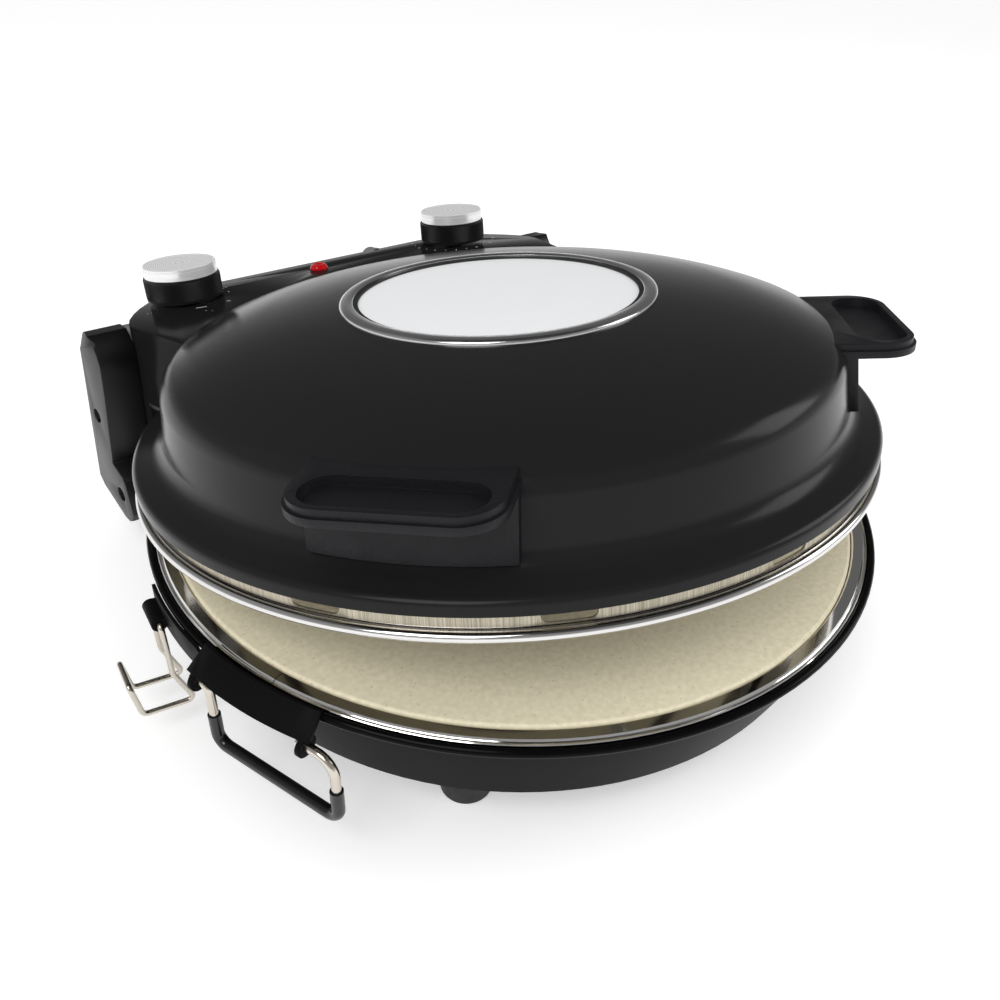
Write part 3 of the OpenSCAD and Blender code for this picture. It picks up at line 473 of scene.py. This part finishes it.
def turned(name, profile, x=0.0, y=0.0, steps=96):
    """A turned piece: (radius, height) points in mm spun about an upright axis at x, y."""
    bpy.ops.object.select_all(action="DESELECT")
    bpy.ops.mesh.primitive_plane_add(size=0.001, location=(0, 0, 0))
    piece = bpy.context.object
    piece.name = name
    bpy.ops.object.mode_set(mode="EDIT")
    bpy.ops.mesh.select_mode(type="VERT")
    bpy.ops.mesh.select_all(action="SELECT")
    bpy.ops.mesh.merge(type="CENTER")
    radius, height = profile[0]
    bpy.ops.transform.translate(value=((x + radius) / 1000, y / 1000, height / 1000))
    for (r0, z0), (r1, z1) in zip(profile, profile[1:]):
        bpy.ops.mesh.extrude_vertices_move(TRANSFORM_OT_translate={"value": ((r1 - r0) / 1000, 0, (z1 - z0) / 1000)})
    bpy.ops.mesh.select_all(action="SELECT")
    bpy.ops.mesh.spin(steps=steps, angle=math.tau, center=(x / 1000, y / 1000, 0), axis=(0, 0, 1))
    bpy.ops.mesh.select_all(action="SELECT")
    bpy.ops.mesh.remove_doubles(threshold=0.000002)
    bpy.ops.mesh.normals_make_consistent(inside=False)
    bpy.ops.object.mode_set(mode="OBJECT")
    bpy.ops.object.shade_smooth_by_angle(angle=hard_edge)
    return piece


def arc(centre, radius, start, end, steps):
    """Points on an arc from one angle to another, in degrees."""
    angles = (math.radians(start + (end - start) * step / steps) for step in range(steps + 1))
    return [(centre[0] + radius * math.cos(turn), centre[1] + radius * math.sin(turn)) for turn in angles]


def beyond(centre, distance, angle):
    """The centre of the next, wider arc, so that the two meet smoothly at that angle."""
    turn = math.radians(angle)
    return centre[0] - distance * math.cos(turn), centre[1] - distance * math.sin(turn)


lip, cove, shoulder = (flange - 3.2, 10.4), (flange - 5.9, 24.5), (flange - 29.2, 38)
near_crown = beyond(shoulder, 164.6, 68)
crown = beyond(near_crown, 222.7, 80)
hole_angle = math.degrees(math.acos((window_hole + 0.05 - crown[0]) / 398.7))
top_steps, top_start = 8, 81.2
dome_top = arc(crown, 399.3, top_start, hole_angle, top_steps)
skin = ([(flange - 1.2, 7.2), (flange - 1.0, 7.0), (flange - 0.2, 7.0), (flange, 7.2)]
        + arc(lip, 3.2, 0, 90, 8) + arc(cove, 9.4, 262, 187, 16)[1:]
        + arc(shoulder, 12, 8, 68, 16) + arc(near_crown, 176.6, 70, 80, 8) + dome_top)
lining = []
for step, (r, z) in enumerate(dome_top):
    turn = math.radians(top_start + (hole_angle - top_start) * step / top_steps)
    lining.insert(0, (r - thickness * math.cos(turn), z - thickness * math.sin(turn)))
lining += arc(near_crown, 175.4, 80, 70, 4) + arc(shoulder, 10.8, 68, 8, 8) + arc(cove, 10.6, 187, 262, 8)
lining += arc(lip, 2.0, 90, 0, 4) + [(flange - 1.2, 7.2)]
shell = turned("lid_skin", skin + lining, steps=224)
stand_for(on_lid(shell), lid_enamel, "lid_shell")

# ---- Lid skirt ------------------------------------------------------------
# Brushed stainless, pierced with twelve vents and rolled into a bright bead.
skirt_steel = enamel("brushed_stainless", (0.6, 0.56, 0.5), 0.3, 1.0)
tree = skirt_steel.node_tree
shader = tree.nodes["Principled BSDF"]
coords = tree.nodes.new("ShaderNodeTexCoord")
level = tree.nodes.new("ShaderNodeMapping")
level.vector_type = "TEXTURE"
level.inputs["Location"].default_value = lid_place.translation
level.inputs["Rotation"].default_value = (lid_tilt, 0, 0)
brushing = tree.nodes.new("ShaderNodeMapping")
brushing.inputs["Scale"].default_value = (2600, 2600, 22)
lines = tree.nodes.new("ShaderNodeTexNoise")
lines.inputs["Scale"].default_value = 1
lines.inputs["Detail"].default_value = 3
height = tree.nodes.new("ShaderNodeSeparateXYZ")
above_bead = tree.nodes.new("ShaderNodeMapRange")
for socket, value in (("From Min", 0.0011), ("From Max", 0.0015), ("To Min", 0.0), ("To Max", 1.0)):
    above_bead.inputs[socket].default_value = value
streaks = tree.nodes.new("ShaderNodeValToRGB")
dull, bright = (0.3, 0.27, 0.2, 1), (0.62, 0.57, 0.46, 1)
for stop, place, colour in zip(streaks.color_ramp.elements, (0.34, 0.66), (dull, bright)):
    stop.position, stop.color = place, colour
tint = tree.nodes.new("ShaderNodeMix")
tint.data_type = "RGBA"
tint.inputs[6].default_value = (0.7, 0.69, 0.68, 1)
polish = tree.nodes.new("ShaderNodeMapRange")
for socket, value in (("To Min", 0.09), ("To Max", 0.4)):
    polish.inputs[socket].default_value = value
for start, end in ((coords.outputs["Object"], level.inputs["Vector"]),
                   (level.outputs["Vector"], brushing.inputs["Vector"]),
                   (brushing.outputs["Vector"], lines.inputs["Vector"]), (level.outputs["Vector"], height.inputs[0]),
                   (height.outputs["Z"], above_bead.inputs["Value"]), (lines.outputs["Fac"], streaks.inputs["Fac"]),
                   (above_bead.outputs["Result"], tint.inputs[0]), (streaks.outputs["Color"], tint.inputs[7]),
                   (tint.outputs[2], shader.inputs["Base Color"]),
                   (above_bead.outputs["Result"], polish.inputs["Value"]),
                   (polish.outputs["Result"], shader.inputs["Roughness"])):
    tree.links.new(start, end)
wall, ledge, bead = flange - 2.8, flange - 10.8, 2.05
skirt = turned("vented_skirt", [(ledge, 11.8), (wall - 1.4, 11.8), (wall - 0.4, 11.4), (wall, 10.4), (wall, 0.6)]
               + arc((wall + 2.0, -1.05), bead, 150, -190, 28)
               + [(wall - 0.8, 0.4), (wall - 0.8, 10.2), (wall - 1.4, 11.0), (ledge, 11.0), (ledge, 11.8)], steps=240)
vents, vent_middle, vent_size, vent_corner = 12, 0.0059, (0.019, 0.008, 0.0078), 0.0026
bpy.ops.object.select_all(action="DESELECT")
bpy.ops.mesh.primitive_cube_add(size=1, location=(0, -wall / 1000, vent_middle))
punch = bpy.context.object
punch.name = "vent_punch"
punch.scale = vent_size
bpy.ops.object.transform_apply(location=True, rotation=True, scale=True)
bpy.ops.object.mode_set(mode="EDIT")
pick(punch, "EDGE", lambda edge: abs(ends(punch, edge)[0].y - ends(punch, edge)[1].y) > vent_size[1] / 2)
bpy.ops.mesh.bevel(offset=vent_corner, segments=6)
bpy.ops.mesh.select_all(action="SELECT")
for _ in range(vents - 1):
    bpy.ops.mesh.duplicate()
    bpy.ops.transform.rotate(value=math.tau / vents, orient_axis="Z", center_override=(0, 0, 0))
bpy.ops.object.mode_set(mode="OBJECT")
cut = skirt.modifiers.new("vents", "BOOLEAN")
cut.operation, cut.object, cut.solver = "DIFFERENCE", punch, "EXACT"
alone(skirt)
bpy.ops.object.modifier_apply(modifier=cut.name)
bpy.data.objects.remove(punch)
bpy.ops.object.shade_smooth_by_angle(angle=hard_edge)
stand_for(on_lid(skirt), skirt_steel, "lid_skirt")

# ---- Window ---------------------------------------------------------------
# A tempered glass disc in a black gasket, under a bright spun bezel. The glass is near-white and almost opaque: a
# painted reflection of the white backdrop.
def rings(finish, x, y, pitch, low, high):
    """Turning rings of changing roughness round x, y of the lid's frame, pitch metres apart."""
    tree = finish.node_tree
    coords = tree.nodes.new("ShaderNodeTexCoord")
    centred = tree.nodes.new("ShaderNodeMapping")
    centred.vector_type = "POINT"
    centred.inputs["Location"].default_value = lid_place @ Vector((x, y, 0.06)) * -1
    flat = tree.nodes.new("ShaderNodeVectorMath")
    flat.operation = "LENGTH"
    wave = tree.nodes.new("ShaderNodeMath")
    wave.operation = "PINGPONG"
    wave.inputs[1].default_value = pitch
    bend = tree.nodes.new("ShaderNodeMapRange")
    for name, value in (("From Max", pitch), ("To Min", low), ("To Max", high)):
        bend.inputs[name].default_value = value
    tree.links.new(coords.outputs["Object"], centred.inputs["Vector"])
    tree.links.new(centred.outputs["Vector"], flat.inputs[0])
    tree.links.new(flat.outputs["Value"], wave.inputs[0])
    tree.links.new(wave.outputs["Value"], bend.inputs["Value"])
    tree.links.new(bend.outputs["Result"], tree.nodes["Principled BSDF"].inputs["Roughness"])
    return finish


# Near-white, almost opaque glass colour: a painted reflection of the white backdrop. The rings vary only its roughness.
glass_painted_reflection = enamel("window_glass", (0.97, 0.98, 0.99), 0.06, Transmission_Weight=0.04, IOR=1.5)
glass_painted_reflection = rings(glass_painted_reflection, 0, 0, 0.012, 0.04, 0.1)
glass = turned("window_pane", [(0, 64.2), (64.2, 64.2), (64.9, 63.5), (64.9, 60.9), (64.2, 60.2), (0, 60.2)])
stand_for(on_lid(glass), glass_painted_reflection, "window_glass")
gasket_rubber = spread(enamel("black_gasket", (0.01, 0.01, 0.01), 0.55), "Roughness", 0.45, 0.62, 120)
dress(gasket_rubber, "window_gasket")
bezel_steel = enamel("spun_bezel", (0.66, 0.66, 0.66), 0.14, 1.0)
bezel_steel = spread(bezel_steel, "Roughness", 0.1, 0.2, 300, (1, 1, 0.1))
crown_height = 63.8
bezel_side = [(64.6, 1.2), (64.6, 1.9), (64.8, 2.2), (65.2, 2.4), (69.2, 2.3), (70.2, 1.9), (70.7, 1.4), (70.9, 0.8),
              (70.9, -0.6), (66.6, -0.4), (66.6, 1.2), (64.6, 1.2)]
bezel = turned("window_ring", [(radius, crown_height + rise) for radius, rise in bezel_side], steps=192)
stand_for(on_lid(bezel), bezel_steel, "window_bezel")

# ---- Handles --------------------------------------------------------------
# Moulded phenolic, matt black with a fine grain, screwed on from inside.
phenolic = enamel("moulded_phenolic", (0.008, 0.008, 0.01), 0.4, Specular_IOR_Level=0.24)
phenolic = grain(spread(phenolic, "Roughness", 0.36, 0.5, 60), 1200, 0.5, 0.0003)
for side in ("left", "right"):
    eased("grip_" + side, "handle_" + side, phenolic, 0.0009)

# ---- Control housing ------------------------------------------------------
# The switches, the pilot lamp and the cord gland sit under the housing's deck.
deck_enamel = enamel("gloss_black_deck", (0.009, 0.009, 0.0095), 0.18, Specular_IOR_Level=0.03)
eased("control_box", "control_housing", spread(deck_enamel, "Roughness", 0.14, 0.2, 8), 0.0011)
dress(spread(enamel("black_cover", (0.01, 0.01, 0.011), 0.4), "Roughness", 0.34, 0.48, 30), "housing_cover")
dress(spread(enamel("brown_bakelite", (0.22, 0.14, 0.06), 0.4), "Roughness", 0.3, 0.5, 60), "thermostat")
dress(spread(enamel("grey_timer_case", (0.05, 0.05, 0.055), 0.45), "Roughness", 0.38, 0.52, 60), "timer")
steatite = spread(enamel("white_steatite", (0.7, 0.66, 0.56), 0.5), "Roughness", 0.4, 0.6, 60)
dress(steatite, "terminal_block", "lamp_holder")
dress(spread(enamel("grey_nylon", (0.18, 0.18, 0.18), 0.42), "Roughness", 0.35, 0.5, 80), "cord_gland")
lamp_red = enamel("pilot_lamp_red", (0.62, 0.004, 0.008), 0.08, Transmission_Weight=0.2, IOR=1.49)
lamp_red = spread(lamp_red, "Roughness", 0.05, 0.12, 90)
lamp_x, lamp_y = -6.5, 165.5
lens = turned("pilot_lens", [(0, 43), (4, 43), (4, 48), (5.2, 48), (5.2, 48.6), (4.7, 49.1), (4.3, 50.1),
                             (3.5, 50.75), (2.6, 50.75), (2.0, 50.2), (1.6, 49.6), (0, 49.4)], lamp_x, lamp_y, 64)
stand_for(on_lid(lens), lamp_red, "lamp_lens")
lamp_core = turned("pilot_core", [(0, 49.5), (1.55, 49.7), (1.75, 50.0), (1.2, 50.15), (0, 50.2)], lamp_x, lamp_y, 48)
on_lid(lamp_core)
lamp_core.data.materials.append(gasket_rubber)
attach(lamp_core, "lid")

# ---- Hinge arms -----------------------------------------------------------
# Moulded black arms bolted to the housing's cheeks; they turn on the yoke's pins.
# The top is low and full at its outer rear corner, and rolls over to the rear.
arm_black = enamel("semi_gloss_moulding", (0.002, 0.002, 0.0024), 0.34, Specular_IOR_Level=0.4)
arm_black = grain(spread(arm_black, "Roughness", 0.28, 0.42, 26), 1200, 0.12, 0.00006)
crest_height, crest_outer, crest_rear = 0.1213, 0.139, 0.147


def along_crest(piece, edge):
    """Whether an edge runs across the arm at the rear of its top."""
    first, last = ends(piece, edge)
    return abs(first.x - last.x) > 0.004 and min(first.z, last.z) > 0.11 and min(first.y, last.y) > crest_rear


def rolled_crest(arm):
    """Lowers the arm's top, fills its outer corner and rounds its rear edges."""
    pick(arm, "VERT", lambda corner: corner.co.z > crest_height)
    bpy.ops.transform.translate(value=(0, 0.0018, -0.0024))
    pick(arm, "VERT", lambda corner: corner.co.z > crest_height - 0.0033 and abs(corner.co.x) > crest_outer)
    bpy.ops.transform.resize(value=(1.029, 1, 1), center_override=(0, 0, 0))
    pick(arm, "EDGE", lambda edge: along_crest(arm, edge))
    bpy.ops.mesh.bevel(offset=0.0036, segments=6)


for side in ("left", "right"):
    eased("hinge_arm_" + side, "arm_" + side, arm_black, 0.0012, reshape=rolled_crest)
dress(zinc, "arm_screws")

# ---- Knobs ----------------------------------------------------------------
# Knurled black skirts with spun aluminium caps.
knob_black = enamel("knob_black", (0.004, 0.004, 0.0045), 0.42, Specular_IOR_Level=0.3)
knob_black = grain(spread(knob_black, "Roughness", 0.36, 0.5, 90), 2600, 0.15, 0.00005)
mark_white = spread(enamel("white_marking", (0.85, 0.85, 0.83), 0.5), "Roughness", 0.42, 0.6, 300)


def knurled(name, radius, low, high, x, y):
    """A band of diamond knurling: quads poked, their own edges dissolved, and each diamond raised to a point."""
    around, rows, tooth = 112, 9, 0.32
    bpy.ops.object.select_all(action="DESELECT")
    bpy.ops.mesh.primitive_cylinder_add(vertices=around, radius=(radius - tooth) / 1000, depth=(high - low) / 1000,
                                        end_fill_type="NOTHING", location=(x / 1000, y / 1000, (low + high) / 2000))
    band = bpy.context.object
    band.name = name
    bpy.ops.object.transform_apply(location=True, rotation=True, scale=True)
    bpy.ops.object.mode_set(mode="EDIT")
    for row in range(1, rows):
        bpy.ops.mesh.select_all(action="SELECT")
        bpy.ops.mesh.bisect(plane_co=(0, 0, (low + (high - low) * row / rows) / 1000), plane_no=(0, 0, 1))
    bpy.ops.mesh.select_all(action="SELECT")
    bpy.ops.mesh.poke()
    bpy.ops.object.mode_set(mode="OBJECT")
    inner = (radius - tooth) / 1000 * (1 + math.cos(math.pi / around)) / 2
    reach = [math.hypot(v.co.x - x / 1000, v.co.y - y / 1000) > inner for v in band.data.vertices]

    def quad_side(edge):
        """Whether an edge is a side of a first quad, and not on the band's own rims."""
        first, last = ends(band, edge)
        middle = (first.z + last.z) / 2
        return all(reach[i] for i in edge.vertices) and low / 1000 + 1e-6 < middle < high / 1000 - 1e-6

    bpy.ops.object.mode_set(mode="EDIT")
    pick(band, "EDGE", quad_side)
    bpy.ops.mesh.dissolve_edges(use_verts=False)
    pick(band, "FACE", lambda face: len(face.vertices) == 4)
    bpy.ops.mesh.poke(offset=tooth / 1000)
    bpy.ops.mesh.select_all(action="DESELECT")
    bpy.ops.object.mode_set(mode="OBJECT")
    return band


knob_x, knob_y = 86.7, 163.6
skirt_side = [(6, 49), (16.4, 49), (16.4, 49.6), (18.6, 49.6), (19.1, 49.2), (19.5, 49.4), (19.5, 50.0), (19.1, 50.4),
              (19.1, 60.3), (19.3, 60.5), (19.3, 60.8), (18.2, 61.0), (17.6, 61.6), (6, 61.6), (6, 49)]
cap_side = [(0, 66.8), (17.3, 66.8), (17.6, 67.0), (17.9, 67.2), (18.2, 67.2), (18.7, 66.7), (18.7, 65.9),
            (18.55, 65.8), (18.55, 65.5), (18.7, 65.4), (18.7, 61.4), (18.4, 61.1), (17.7, 61.1), (17.7, 66.0),
            (0, 66.0)]
knurl_radius, knurl_low, knurl_high = 19.7, 50.3, 60.4
for side, x in (("left", -knob_x), ("right", knob_x)):
    core = turned("knob_" + side + "_skirt", skirt_side, x, knob_y)
    band = knurled("knob_" + side + "_knurl", knurl_radius, knurl_low, knurl_high, x, knob_y)
    alone(core)
    band.select_set(True)
    bpy.ops.object.join()
    stand_for(on_lid(core), knob_black, "knob_" + side)
    cap = turned("knob_" + side + "_disc", cap_side, x, knob_y)
    spun_cap = enamel("spun_aluminium_" + side, (0.93, 0.93, 0.94), 0.24, 0.4)
    stand_for(on_lid(cap), rings(spun_cap, x / 1000, knob_y / 1000, 0.0004, 0.16, 0.3), "knob_" + side + "_cap")

# ---- Dial marks -----------------------------------------------------------
# Small white marks pad-printed on the deck round each knob: dots at the ends
# of the travel, short scale strokes between them.
paint_flatness, deck_height = 0.12, 0.04801


def printed(name, strokes, width):
    """Flat painted strokes on the deck: each is a run of (x, y) points in mm in the lid's frame."""
    ink = bpy.data.curves.new(name, "CURVE")
    ink.dimensions, ink.bevel_depth, ink.bevel_resolution, ink.use_fill_caps = "3D", width / 2000, 2, True
    for stroke in strokes:
        line = ink.splines.new("POLY")
        line.points.add(len(stroke) - 1)
        for dot, (x, y) in zip(line.points, stroke):
            dot.co = (x / 1000, y / 1000, 0, 1)
    piece = bpy.data.objects.new(name, ink)
    bpy.context.scene.collection.objects.link(piece)
    alone(piece)
    bpy.ops.object.convert(target="MESH")
    piece = bpy.context.object
    piece.scale.z, piece.location.z = paint_flatness, deck_height
    bpy.ops.object.transform_apply(location=True, rotation=True, scale=True)
    piece.data.materials.append(mark_white)
    on_lid(piece)
    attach(piece, "lid")


def round_knob(x, y, radius, angle, length=0.0, across=0.0):
    """A stroke at that angle from straight ahead round a knob, length outwards and across it, in mm."""
    turn = math.radians(angle)
    out, side = (math.sin(turn), -math.cos(turn)), (math.cos(turn), math.sin(turn))
    half, wide = max(length, 0.3) / 2, across / 2
    return [(x + out[0] * (radius - half) - side[0] * wide, y + out[1] * (radius - half) - side[1] * wide),
            (x + out[0] * (radius + half) + side[0] * wide, y + out[1] * (radius + half) + side[1] * wide)]


left_marks = ((27.9, -58.5), (29.4, -60.5), (24.0, -2, 1.0, 5.2), (31.6, -2.5), (34.2, 1.8), (27.2, 32, 1.8, 0.6),
              (21.8, 97, 1.4), (22.4, 76, 1.0), (24.6, 100, 0.8))
printed("dial_marks_left", [round_knob(-knob_x, knob_y, *mark) for mark in left_marks], 0.55)
printed("dial_marks_right", [round_knob(knob_x, knob_y, 25.5, angle, 1.6) for angle in range(-150, 151, 30)]
        + [round_knob(knob_x, knob_y, 24.9, angle, 0.6) for angle in range(-135, 136, 30)], 0.5)
